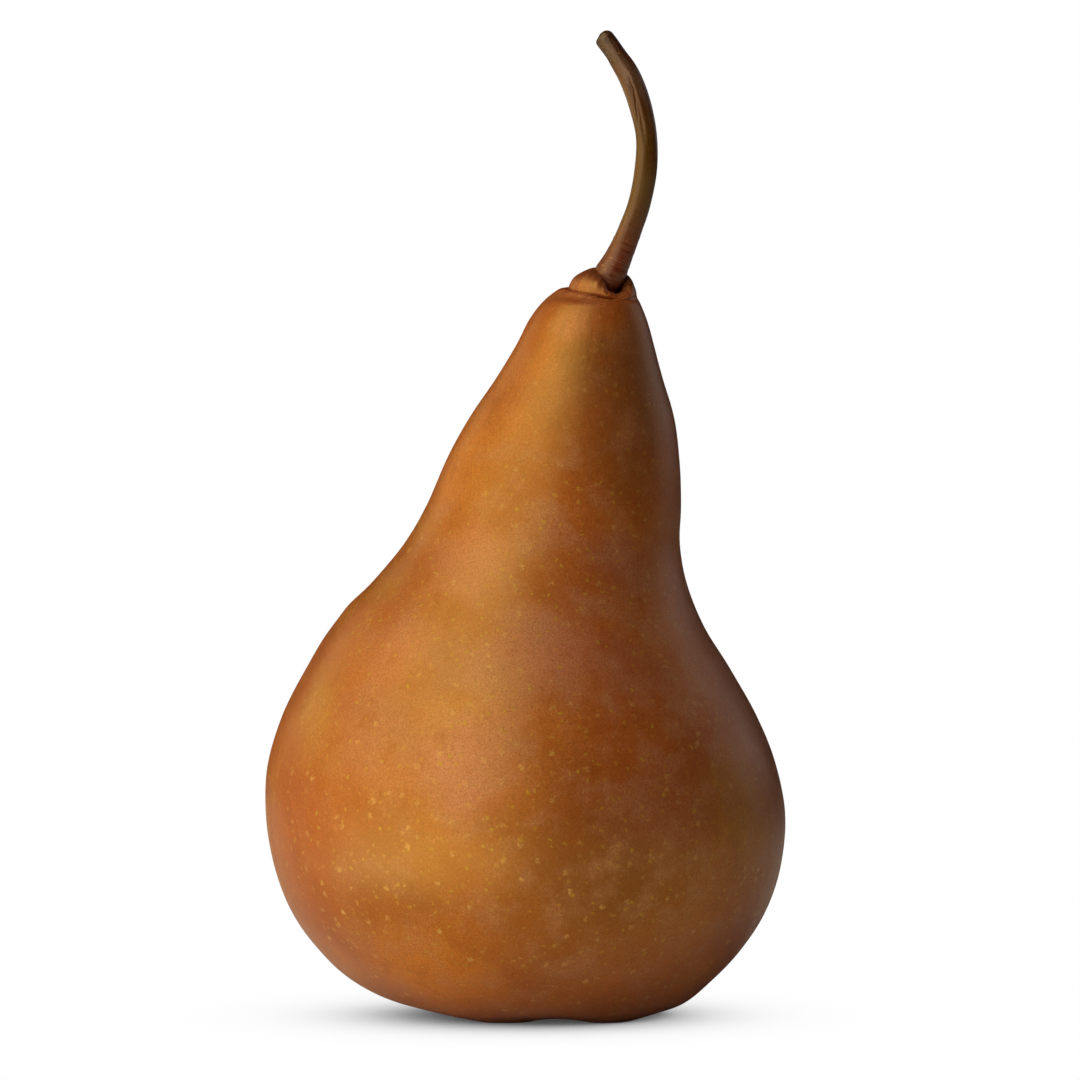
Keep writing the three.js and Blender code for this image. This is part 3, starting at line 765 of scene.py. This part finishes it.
def stem_tree():
    """A stalk swept along its path: oval, with a groove and a slit in it, a wrinkled foot and a
    frayed tip."""
    depths = [f"{part} depth" for part in ("Oval", "Groove", "Slit", "Wrinkle", "Fibre", "Fray")]
    sockets = {"Sides": "Int"} | {depth: "Float" for depth in depths} | {"Bark": "Material"}
    tree, entry = geometry_tree("pear stem", sockets)
    mark = {
        name: node(tree, "GeometryNodeInputNamedAttribute", {"Name": name}, data_type="FLOAT")
        for name in STEM_MARKS
    }
    chain = node(tree, "GeometryNodeMeshToCurve", {0: entry[0]})
    ring = node(tree, "GeometryNodeCurvePrimitiveCircle", {"Resolution": entry["Sides"], "Radius": MM})
    tube = node(
        tree, "GeometryNodeCurveToMesh",
        {0: chain, 1: ring, "Scale": mark["thickness"], "Fill Caps": True},
    )
    normal = node(tree, "GeometryNodeInputNormal")
    facing = node(tree, "ShaderNodeSeparateXYZ", {0: normal}).node.outputs
    turn = node(tree, "ShaderNodeMath", {0: facing[1], 1: facing[0]}, operation="ARCTAN2")

    # Coordinates that follow the wood: round the stem and along it, in mm.
    across = node(tree, "ShaderNodeVectorMath", {0: normal, 1: (1.4, 1.4, 0.0)}, operation="MULTIPLY")
    lengthwise = node(tree, "ShaderNodeCombineXYZ", {2: mark["run"]})
    wood = node(tree, "ShaderNodeVectorMath", {0: across, 1: lengthwise}, operation="ADD")
    stretched = node(tree, "ShaderNodeVectorMath", {0: wood, 1: (1.0, 1.0, 0.16)}, operation="MULTIPLY")
    squeezed = node(tree, "ShaderNodeVectorMath", {0: wood, 1: (0.4, 0.4, 1.9)}, operation="MULTIPLY")

    # An oval section, longest from the front left to the back right.
    oval = node(tree, "ShaderNodeMath", {0: turn, 1: 2.0, 2: 5.2}, operation="MULTIPLY_ADD")
    oval = node(tree, "ShaderNodeMath", {0: oval}, operation="COSINE")
    # A soft groove down the front left, under the tip.
    groove = node(tree, "ShaderNodeMath", {0: turn, 1: 1.85}, operation="ADD")
    groove = node(tree, "ShaderNodeMath", {0: groove}, operation="ABSOLUTE")
    groove = node(
        tree, "ShaderNodeMapRange", {0: groove, 1: 0.45, 2: 0.0, 4: -1.0},
        interpolation_type="SMOOTHSTEP",
    )
    # A thin slit that wanders to the left on its way down.
    jitter = node(tree, "ShaderNodeTexNoise", {"Vector": wood, "Scale": 0.7, "Detail": 2.0})
    slit = node(tree, "ShaderNodeMath", {0: jitter, 1: 0.5, 2: -0.25}, operation="MULTIPLY_ADD")
    slit = node(tree, "ShaderNodeMath", {0: slit, 1: turn}, operation="ADD")
    slit = node(tree, "ShaderNodeMath", {0: slit, 1: mark["slit turn"]}, operation="ADD")
    slit = node(tree, "ShaderNodeMath", {0: slit}, operation="ABSOLUTE")
    slit = node(
        tree, "ShaderNodeMapRange", {0: slit, 1: 0.13, 2: 0.0, 4: -1.0},
        interpolation_type="SMOOTHSTEP",
    )
    slit = node(tree, "ShaderNodeMath", {0: slit, 1: mark["slit"]}, operation="MULTIPLY")
    # Fibres, rings of wrinkles at the foot, and a frayed left half of the tip.
    fibre = node(tree, "ShaderNodeTexNoise", {"Vector": stretched, "Scale": 2.6, "Detail": 3.0})
    fibre = node(tree, "ShaderNodeMath", {0: fibre, 1: 2.0, 2: -1.0}, operation="MULTIPLY_ADD")
    wrinkle = node(tree, "ShaderNodeTexNoise", {"Vector": squeezed, "Scale": 0.8, "Detail": 2.0})
    wrinkle = node(tree, "ShaderNodeMath", {0: wrinkle, 1: 2.0, 2: -1.0}, operation="MULTIPLY_ADD")
    torn = node(
        tree, "ShaderNodeMapRange", {0: facing[0], 1: 0.1, 2: -0.5},
        interpolation_type="SMOOTHSTEP",
    )
    torn = node(tree, "ShaderNodeMath", {0: torn, 1: mark["frayed"]}, operation="MULTIPLY")

    total = 0.0
    for pattern, where, depth in (
        (oval, mark["oval"], "Oval depth"),
        (groove, mark["grooved"], "Groove depth"),
        (slit, 1.0, "Slit depth"),
        (fibre, 1.0, "Fibre depth"),
        (wrinkle, mark["wrinkled"], "Wrinkle depth"),
        (fibre, torn, "Fray depth"),
    ):
        share = node(tree, "ShaderNodeMath", {0: pattern, 1: where}, operation="MULTIPLY")
        total = node(
            tree, "ShaderNodeMath", {0: share, 1: entry[depth], 2: total},
            operation="MULTIPLY_ADD",
        )
    offset = node(tree, "ShaderNodeVectorMath", {0: normal, "Scale": total}, operation="SCALE")
    made = node(tree, "GeometryNodeSetPosition", {"Geometry": tube, "Offset": offset})
    for name, value, kind in (
        ("wood", wood, "FLOAT_VECTOR"), ("crack", slit, "FLOAT"), ("torn", torn, "FLOAT"),
    ):
        made = node(
            tree, "GeometryNodeStoreNamedAttribute",
            {"Geometry": made, "Name": name, "Value": value}, data_type=kind,
        )
    close_tree(tree, made, entry["Bark"])
    return tree


def stem_wood(settings):
    """Young bark of a fruit stalk: hard and satin, olive brown with red brown ends, and dark and
    fibrous where the tip is torn."""
    material, tree = blank_material("pear stem bark")
    wood = node(tree, "ShaderNodeAttribute", output=1, attribute_name="wood")
    place = node(tree, "ShaderNodeTexCoord", output=3)
    height = node(tree, "ShaderNodeSeparateXYZ", {0: place}, output=2)
    stretched = node(tree, "ShaderNodeVectorMath", {0: wood, 1: (1.0, 1.0, 0.1)}, operation="MULTIPLY")
    fibres = node(tree, "ShaderNodeTexNoise", {"Vector": stretched, "Scale": 3.5, "Detail": 4.0})
    cloud = node(tree, "ShaderNodeTexNoise", {"Vector": wood, "Scale": 0.35, "Detail": 2.0})
    mix = node(tree, "ShaderNodeMath", {0: fibres, 1: cloud}, operation="ADD")
    mix = node(tree, "ShaderNodeMapRange", {0: mix, 1: 0.9, 2: 1.25, 4: 0.7})
    # The upper third and the foot are redder than the middle.
    upper = node(tree, "ShaderNodeMapRange", {0: height, 1: 0.121, 2: 0.128})
    foot = node(tree, "ShaderNodeMapRange", {0: height, 1: 0.1105, 2: 0.1045})
    ends = node(tree, "ShaderNodeMath", {0: upper, 1: foot}, operation="MAXIMUM")
    ends = node(tree, "ShaderNodeMath", {0: ends, 1: 0.8}, operation="MULTIPLY")
    red = node(tree, "ShaderNodeMath", {0: mix, 1: ends}, operation="MAXIMUM")
    ground = node(tree, "ShaderNodeMix", {0: red, 6: settings.wood, 7: settings.heart}, 2, data_type="RGBA")
    # Against the fruit it is darker still, in blotches.
    blotch = node(tree, "ShaderNodeTexNoise", {"Vector": wood, "Scale": 0.9, "Detail": 4.0})
    blotch = node(tree, "ShaderNodeMath", {0: blotch, 1: 6.0}, operation="MULTIPLY")
    base = node(tree, "ShaderNodeMath", {0: height, 1: 1000.0, 2: blotch}, operation="MULTIPLY_ADD")
    base = node(tree, "ShaderNodeMapRange", {0: base, 1: 114.5, 2: 108.5, 4: 0.95})
    # A pale film over the upper stem: partly dry wax and partly a painted highlight.
    film = node(tree, "ShaderNodeTexNoise", {"Vector": stretched, "Scale": 1.2, "Detail": 4.0})
    film = node(tree, "ShaderNodeMapRange", {0: film, 1: 0.45, 2: 0.7})
    film = node(tree, "ShaderNodeMath", {0: film, 1: upper}, operation="MULTIPLY")
    film = node(tree, "ShaderNodeMath", {0: film, 1: 0.5}, operation="MULTIPLY")
    # Torn fibres, with dark gaps between them.
    torn = node(tree, "ShaderNodeAttribute", output=2, attribute_name="torn")
    gaps = node(tree, "ShaderNodeMapRange", {0: fibres, 1: 0.56, 2: 0.46, 4: 0.8})
    frayed = node(
        tree, "ShaderNodeMix", {0: gaps, 6: settings.fray, 7: settings.crack}, 2,
        data_type="RGBA",
    )
    # The very tip has dark dry streaks.
    dried = node(tree, "ShaderNodeMapRange", {0: height, 1: 0.1315, 2: 0.1355, 4: 0.85})
    streak = node(tree, "ShaderNodeMapRange", {0: fibres, 1: 0.56, 2: 0.44})
    dried = node(tree, "ShaderNodeMath", {0: dried, 1: streak}, operation="MULTIPLY")
    # Pores: mostly at both ends.
    pores = node(tree, "ShaderNodeTexVoronoi", {"Vector": wood, "Scale": 1 / 1.15})
    pores = node(tree, "ShaderNodeMapRange", {0: pores, 1: 0.17, 2: 0.07})
    near_tip = node(tree, "ShaderNodeMapRange", {0: height, 1: 0.126, 2: 0.130})
    near_tip = node(tree, "ShaderNodeMath", {0: near_tip, 1: foot}, operation="MAXIMUM")
    near_tip = node(tree, "ShaderNodeMath", {0: near_tip, 1: 0.75, 2: 0.12}, operation="MULTIPLY_ADD")
    pores = node(tree, "ShaderNodeMath", {0: pores, 1: near_tip}, operation="MULTIPLY")
    crack = node(tree, "ShaderNodeAttribute", output=2, attribute_name="crack")
    crack = node(tree, "ShaderNodeMath", {0: crack, 1: -0.8}, operation="MULTIPLY")
    for share, paint in (
        (base, settings.base),
        (film, settings.wax_and_sheen),
        (torn, frayed),
        (dried, settings.crack),
        (pores, settings.pore),
        (crack, settings.crack),
    ):
        ground = node(tree, "ShaderNodeMix", {0: share, 6: ground, 7: paint}, 2, data_type="RGBA")
    # Relief: fibres, pores, and rings of small wrinkles round the foot.
    rings = node(tree, "ShaderNodeVectorMath", {0: wood, 1: (0.5, 0.5, 1.6)}, operation="MULTIPLY")
    rings = node(tree, "ShaderNodeTexNoise", {"Vector": rings, "Scale": 1.0, "Detail": 1.0})
    rings = node(tree, "ShaderNodeMath", {0: rings, 1: foot}, operation="MULTIPLY")
    raised = node(tree, "ShaderNodeMath", {0: fibres, 1: pores}, operation="ADD")
    raised = node(tree, "ShaderNodeMath", {0: rings, 1: 7.0, 2: raised}, operation="MULTIPLY_ADD")
    normal = node(tree, "ShaderNodeBump", {"Height": raised, "Distance": 0.04 * MM, "Strength": 0.7})
    gloss = node(tree, "ShaderNodeMapRange", {0: fibres, 1: 0.3, 2: 0.7, 3: 0.22, 4: 0.32})
    gloss = node(tree, "ShaderNodeMath", {0: foot, 1: 0.05, 2: gloss}, operation="MULTIPLY_ADD")
    surface = node(
        tree,
        "ShaderNodeBsdfPrincipled",
        {
            "Base Color": ground,
            "Roughness": gloss,
            "Normal": normal,
            "IOR": 1.6,
            "Specular IOR Level": 0.7,
            "Specular Tint": linear("ffdca2"),
        },
    )
    node(tree, "ShaderNodeOutputMaterial", {"Surface": surface})
    return material


class PEAR_OT_stem(bpy.types.Operator):
    """Make the long curved stem."""

    bl_idname = "pear.stem"
    bl_label = "Stem"

    def execute(self, context):
        settings = context.scene.pear_stem
        bark = stem_wood(settings)
        dress(grow("pear_stem", stem_path(), stem_tree(), settings, bark), "stem")
        return {"FINISHED"}


# ---- calyx ----
def cup_mesh():
    """The dry rim and floor of the flower, which the sepals and stamens stand on."""
    azimuth = np.linspace(0, 2 * math.pi, CUP_SIDES, endpoint=False)
    spans = len(CUP_RINGS) - 1
    t = np.linspace(0, spans, spans * CUP_ROWS_PER_RING + 1)
    radius, height = along(CUP_RINGS, t).T
    radius = np.maximum(radius, 0)
    uneven = 1 + 0.05 * np.sin(7 * azimuth) + 0.04 * np.sin(3 * azimuth + 1)
    x = CALYX_CENTRE[0] + radius[:, None] * np.cos(azimuth) * uneven
    y = CALYX_CENTRE[1] + radius[:, None] * np.sin(azimuth) * uneven
    z = np.broadcast_to(height[:, None], x.shape)
    return closed_loft("pear_calyx", np.stack([x, y, z], axis=-1))


def calyx_tree():
    """Sepals that curl out of the cup and stamen stubs inside it."""
    sizes = ("Sepal reach", "Sepal width", "Stamen length", "Stamen width")
    sockets = {"Sepals": "Int", "Stamens": "Int"} | {s: "Float" for s in sizes}
    tree, entry = geometry_tree("pear calyx", sockets | {"Seed": "Int", "Dried": "Material"})
    centre = (CALYX_CENTRE[0] * MM, CALYX_CENTRE[1] * MM)

    def fan(limb, count, stand, seed, lean):
        """Copies of a limb standing in a ring and facing outwards, each turned a little."""
        ring = node(tree, "GeometryNodeMeshCircle", {"Vertices": count, "Radius": stand[0] * MM})
        ring = node(
            tree, "GeometryNodeTransform",
            {0: ring, "Translation": (centre[0], centre[1], stand[1] * MM)},
        )
        index = node(tree, "GeometryNodeInputIndex")
        step = node(tree, "ShaderNodeMath", {0: 2 * math.pi, 1: count}, operation="DIVIDE")
        turn = node(tree, "ShaderNodeMath", {0: index, 1: step}, operation="MULTIPLY")
        wobble = node(
            tree, "FunctionNodeRandomValue",
            {0: (-lean, -lean, -0.16), 1: (lean, lean, 0.16), "Seed": seed},
            data_type="FLOAT_VECTOR",
        )
        facing = node(tree, "ShaderNodeCombineXYZ", {2: turn})
        facing = node(tree, "ShaderNodeVectorMath", {0: facing, 1: wobble}, operation="ADD")
        size = node(
            tree, "FunctionNodeRandomValue", {2: 0.85, 3: 1.1, "Seed": seed}, output=1,
            data_type="FLOAT",
        )
        return node(
            tree, "GeometryNodeInstanceOnPoints",
            {0: ring, "Instance": limb, "Rotation": facing, "Scale": size},
        )

    # A sepal: a flat pointed blade that rises out of the cup wall, bends over and curls at the tip.
    reach = entry["Sepal reach"]
    middle = node(tree, "ShaderNodeMath", {0: reach, 1: 0.35}, operation="MULTIPLY")
    bend = node(tree, "ShaderNodeCombineXYZ", {0: middle, 2: -2.9 * MM})
    end = node(tree, "ShaderNodeCombineXYZ", {0: reach, 2: -1.3 * MM})
    path = node(
        tree, "GeometryNodeCurveQuadraticBezier",
        {"Resolution": 18, "Start": (0.0, 0.0, 0.8 * MM), "Middle": bend, "End": end},
    )
    share = node(tree, "GeometryNodeSplineParameter")
    narrow = node(
        tree, "ShaderNodeMapRange", {0: share, 1: 0.15, 2: 1.02, 3: 1.0, 4: 0.04},
        interpolation_type="SMOOTHSTEP",
    )
    half = node(tree, "ShaderNodeMath", {0: entry["Sepal width"], 1: 0.5}, operation="MULTIPLY")
    half = node(tree, "ShaderNodeMath", {0: half, 1: narrow}, operation="MULTIPLY")
    ring = node(tree, "GeometryNodeCurvePrimitiveCircle", {"Resolution": 18, "Radius": 1.0})
    blade = node(tree, "GeometryNodeTransform", {0: ring, "Scale": (0.22, 1.0, 1.0)})
    sepal = node(tree, "GeometryNodeCurveToMesh", {0: path, 1: blade, "Scale": half, "Fill Caps": True})
    # A stamen stub: a thin thread with a knob at its end.
    down = node(tree, "ShaderNodeMath", {0: entry["Stamen length"], 1: -1.0}, operation="MULTIPLY")
    middle = node(tree, "ShaderNodeMath", {0: down, 1: 0.5}, operation="MULTIPLY")
    bend = node(tree, "ShaderNodeCombineXYZ", {0: -0.25 * MM, 2: middle})
    end = node(tree, "ShaderNodeCombineXYZ", {0: 0.35 * MM, 2: down})
    path = node(
        tree, "GeometryNodeCurveQuadraticBezier",
        {"Resolution": 12, "Start": (0.0, 0.0, 0.0), "Middle": bend, "End": end},
    )
    knob = node(
        tree, "ShaderNodeMapRange", {0: share, 1: 0.8, 2: 0.95, 3: 0.75, 4: 1.3},
        interpolation_type="SMOOTHSTEP",
    )
    half = node(tree, "ShaderNodeMath", {0: entry["Stamen width"], 1: 0.5}, operation="MULTIPLY")
    half = node(tree, "ShaderNodeMath", {0: half, 1: knob}, operation="MULTIPLY")
    ring = node(tree, "GeometryNodeCurvePrimitiveCircle", {"Resolution": 8, "Radius": 1.0})
    stamen = node(tree, "GeometryNodeCurveToMesh", {0: path, 1: ring, "Scale": half, "Fill Caps": True})
    seed = entry["Seed"]
    sepals = fan(sepal, entry["Sepals"], SEPAL_STAND, seed, 0.16)
    stamens = fan(stamen, entry["Stamens"], STAMEN_STAND, seed, 0.2)
    parts = node(tree, "GeometryNodeJoinGeometry")
    for part in (entry[0], sepals, stamens):
        tree.links.new(part, parts.node.inputs[0])
    close_tree(tree, parts, entry["Dried"])
    return tree


def dried_flower(settings):
    """Dead sepals and stamens: dry, matt and brittle, with a pale felt of hairs."""
    material, tree = blank_material("dried flower")
    place = node(tree, "ShaderNodeTexCoord", output=3)
    mm = node(tree, "ShaderNodeVectorMath", {0: place, "Scale": 1 / MM}, operation="SCALE")
    crumple = node(tree, "ShaderNodeTexNoise", {"Vector": mm, "Scale": 1.4, "Detail": 4.0})
    felt = node(tree, "ShaderNodeTexNoise", {"Vector": mm, "Scale": 5.0, "Detail": 3.0})
    felt = node(tree, "ShaderNodeMath", {0: felt, 1: crumple}, operation="MULTIPLY")
    felt = node(tree, "ShaderNodeMapRange", {0: felt, 1: 0.22, 2: 0.38, 4: 0.8})
    ground = node(
        tree, "ShaderNodeMix", {0: felt, 6: settings.dried, 7: settings.felt}, 2,
        data_type="RGBA",
    )
    normal = node(tree, "ShaderNodeBump", {"Height": crumple, "Distance": 0.2 * MM})
    surface = node(
        tree,
        "ShaderNodeBsdfPrincipled",
        {
            "Base Color": ground,
            "Roughness": 0.85,
            "Normal": normal,
            "Sheen Weight": 0.3,
            "Sheen Roughness": 0.5,
        },
    )
    node(tree, "ShaderNodeOutputMaterial", {"Surface": surface})
    return material


class PEAR_OT_calyx(bpy.types.Operator):
    """Make the dried flower in the basin beneath the fruit."""

    bl_idname = "pear.calyx"
    bl_label = "Calyx"

    def execute(self, context):
        settings = context.scene.pear_calyx
        dried = dried_flower(settings)
        piece = grow("pear_calyx", cup_mesh(), calyx_tree(), settings, dried)
        dress(piece, "calyx")
        return {"FINISHED"}


# ---- studio ----
def add_lamp(name, side, power, colour_hex, place, rotation):
    """A square lamp that the camera doesn't see."""
    data = bpy.data.lights.new(name, "AREA")
    data.size = side
    data.energy = power
    data.color = linear(colour_hex)[:3]
    lamp = bpy.data.objects.new(name, data)
    lamp.location = place
    lamp.rotation_euler = rotation
    lamp.visible_camera = False
    bpy.context.scene.collection.objects.link(lamp)


def heading(azimuth, elevation=0):
    """Unit vector from the fruit: azimuth 0 is the camera's side and -90 is the left."""
    turn, rise = math.radians(azimuth), math.radians(elevation)
    level = math.cos(rise)
    return Vector((math.sin(turn) * level, -math.cos(turn) * level, math.sin(rise)))


def add_softbox(name, azimuth, elevation, power, colour_hex):
    """A softbox that faces the fruit."""
    out = heading(azimuth, elevation)
    place = Vector((0.0, 0.0, LAMP_AIM)) + out * LAMP_DISTANCE
    facing = (-out).to_track_quat("-Z", "Y").to_euler()
    add_lamp(name, SOFTBOX_SIDE, power, colour_hex, place, facing)


def white_floor(settings):
    """Matt white board for the light that bounces off it. The camera sees an even white glow with a painted
    shadow, darker only where the fruit is near.
    """
    material, tree = blank_material("matt white board")
    # Painted shadow: ambient occlusion from the fruit darkens the glow that the camera sees.
    open_sky = node(tree, "ShaderNodeAmbientOcclusion", {"Distance": 80 * MM}, output=1, samples=16)
    closed = node(tree, "ShaderNodeMapRange", {0: open_sky, 1: 0.0, 2: 0.95, 3: 1.0, 4: 0.0})
    closed = node(tree, "ShaderNodeMath", {0: closed, 1: 3.0}, operation="POWER")
    tone = node(tree, "ShaderNodeMapRange", {0: closed, 3: 1.0, 4: 0.05})
    board = node(tree, "ShaderNodeBsdfDiffuse", {"Color": settings.floor})
    even = node(tree, "ShaderNodeEmission", {"Strength": tone})
    seen = node(tree, "ShaderNodeLightPath")
    # The camera sees the glow with its painted shadow; light bouncing in the scene sees the matt board.
    surface = node(tree, "ShaderNodeMixShader", {0: seen, 1: board, 2: even})
    node(tree, "ShaderNodeOutputMaterial", {"Surface": surface})
    return material


class PEAR_OT_studio(bpy.types.Operator):
    """Make the white floor, the lights and the camera."""

    bl_idname = "pear.studio"
    bl_label = "Studio"

    def execute(self, context):
        settings = context.scene.pear_studio
        scene = context.scene
        scene.view_settings.view_transform = "Standard"
        mesh = bpy.data.meshes.new("studio_floor")
        signs = ((-1, -1), (1, -1), (1, 1), (-1, 1))
        corners = [(x * FLOOR_REACH, y * FLOOR_REACH, 0) for x, y in signs]
        mesh.from_pydata(corners, [], [(0, 1, 2, 3)])
        mesh.materials.append(white_floor(settings))
        floor = bpy.data.objects.new("studio_floor", mesh)
        scene.collection.objects.link(floor)

        power = settings.light_power
        for azimuth, hue in WALL_COLUMNS:
            for elevation in WALL_ELEVATIONS:
                name = f"wall_{-azimuth}_{elevation}"
                add_softbox(name, azimuth, elevation, power * WALL_SHARE, hue)
        for name, azimuth, share, hue in BACK_LIGHTS:
            add_softbox(name, azimuth, BACK_ELEVATION, power * share, hue)
        for name, azimuth, distance, side, share in FLOOR_PATCHES:
            place = heading(azimuth) * distance + FLOOR_LIFT
            upwards = (math.pi, 0.0, -math.radians(azimuth))
            add_lamp(name, side, power * share, "ffffff", place, upwards)

        world = bpy.data.worlds.new("white room")
        world.use_nodes = True
        tree = world.node_tree
        tree.nodes.clear()
        seen = node(tree, "ShaderNodeLightPath")
        strength = node(tree, "ShaderNodeMapRange", {0: seen, 3: settings.fill, 4: 1.0})
        white = (1.0, 1.0, 1.0, 1.0)
        room = node(tree, "ShaderNodeBackground", {"Color": white, "Strength": strength})
        node(tree, "ShaderNodeOutputWorld", {"Surface": room})
        scene.world = world

        data = bpy.data.cameras.new("camera")
        data.sensor_width = 36.0
        data.lens = settings.lens
        data.clip_start, data.clip_end = 0.05, 30.0
        camera = bpy.data.objects.new("camera", data)
        camera.location = (CAMERA_RIGHT, -settings.camera_distance, settings.camera_height)
        aim = Vector((CAMERA_RIGHT, 0.0, settings.aim_height)) - camera.location
        camera.rotation_euler = aim.to_track_quat("-Z", "Y").to_euler()
        scene.collection.objects.link(camera)
        scene.camera = camera
        return {"FINISHED"}


# ---- add-on ----
class VIEW3D_PT_pear(bpy.types.Panel):
    """Lists the pieces of the pear and what can be changed on them."""

    bl_label = "Russet Pear"
    bl_space_type = "VIEW_3D"
    bl_region_type = "UI"
    bl_category = "Pear"

    def draw(self, context):
        for operator, name in PIECES:
            box = self.layout.box()
            box.operator(operator)
            settings = getattr(context.scene, name)
            for key in settings.bl_rna.properties.keys():
                if key not in ("rna_type", "name"):
                    box.prop(settings, key)


PIECES = (
    ("pear.body", "pear_body"),
    ("pear.stem", "pear_stem"),
    ("pear.calyx", "pear_calyx"),
    ("pear.studio", "pear_studio"),
)
SETTINGS = {
    "pear_body": PearBodySettings,
    "pear_stem": PearStemSettings,
    "pear_calyx": PearCalyxSettings,
    "pear_studio": PearStudioSettings,
}
CLASSES = (
    *SETTINGS.values(),
    PEAR_OT_body,
    PEAR_OT_stem,
    PEAR_OT_calyx,
    PEAR_OT_studio,
    VIEW3D_PT_pear,
)


def register():
    for cls in CLASSES:
        bpy.utils.register_class(cls)
    for name, group in SETTINGS.items():
        setattr(bpy.types.Scene, name, bpy.props.PointerProperty(type=group))


def unregister():
    for name in SETTINGS:
        delattr(bpy.types.Scene, name)
    for cls in reversed(CLASSES):
        bpy.utils.unregister_class(cls)


def main():
    """Makes the pear and its studio."""
    register()
    bpy.ops.pear.body()
    bpy.ops.pear.stem()
    bpy.ops.pear.calyx()
    bpy.ops.pear.studio()


if __name__ == "__main__":
    main()
